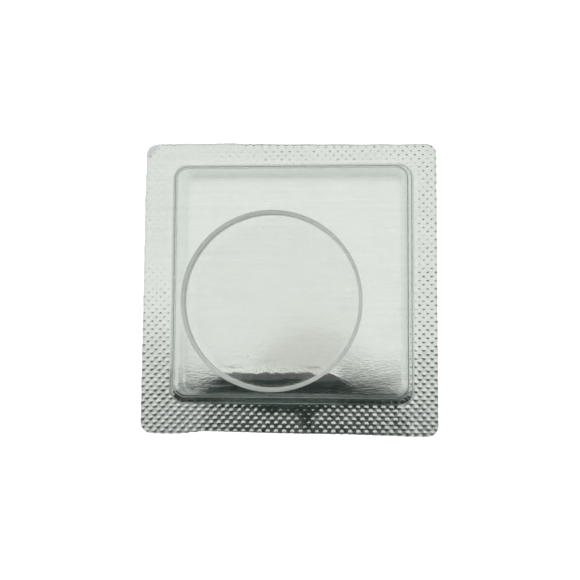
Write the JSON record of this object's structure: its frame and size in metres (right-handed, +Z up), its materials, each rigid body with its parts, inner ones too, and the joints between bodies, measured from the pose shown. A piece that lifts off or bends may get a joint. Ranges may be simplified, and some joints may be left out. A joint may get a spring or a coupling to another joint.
{
  "type": "sealed spare watch glass",
  "caption": "Round flat watch glass, loose in a clear square thermoformed blister heat-sealed to a peel-off foil lid.",
  "frame": {"origin": "centre of the pack's outline on the underside of the foil lid", "axes": "+Z up through the dome, +X across the pack's wider side, +Y towards the edge with the clipped foil corner at its left end"},
  "size_m": [0.0508, 0.0504, 0.0056],
  "materials": {
    "silver_foil": "bright rolled foil with a knurled heat-seal border",
    "clear_film": "clear glossy thermoformed film",
    "mineral_glass": "polished faces, finely ground rim"
  },
  "bodies": {
    "foil": {"foil_lid": "silver_foil"},
    "cover": {"blister_cover": "clear_film"},
    "glass": {"watch_glass": "mineral_glass"}
  },
  "joints": [
    {"name": "cover_peel", "type": "hinge", "parent": "foil", "child": "cover", "pos_m": [0.02535, 0, 0.00025], "axis": [0, 1, 0], "range_deg": [0, 135]},
    {"name": "glass_slide", "type": "slide", "parent": "foil", "child": "glass", "axis": [1, 0, 0], "range_m": [-0.0009, 0.0078]}
  ]
}
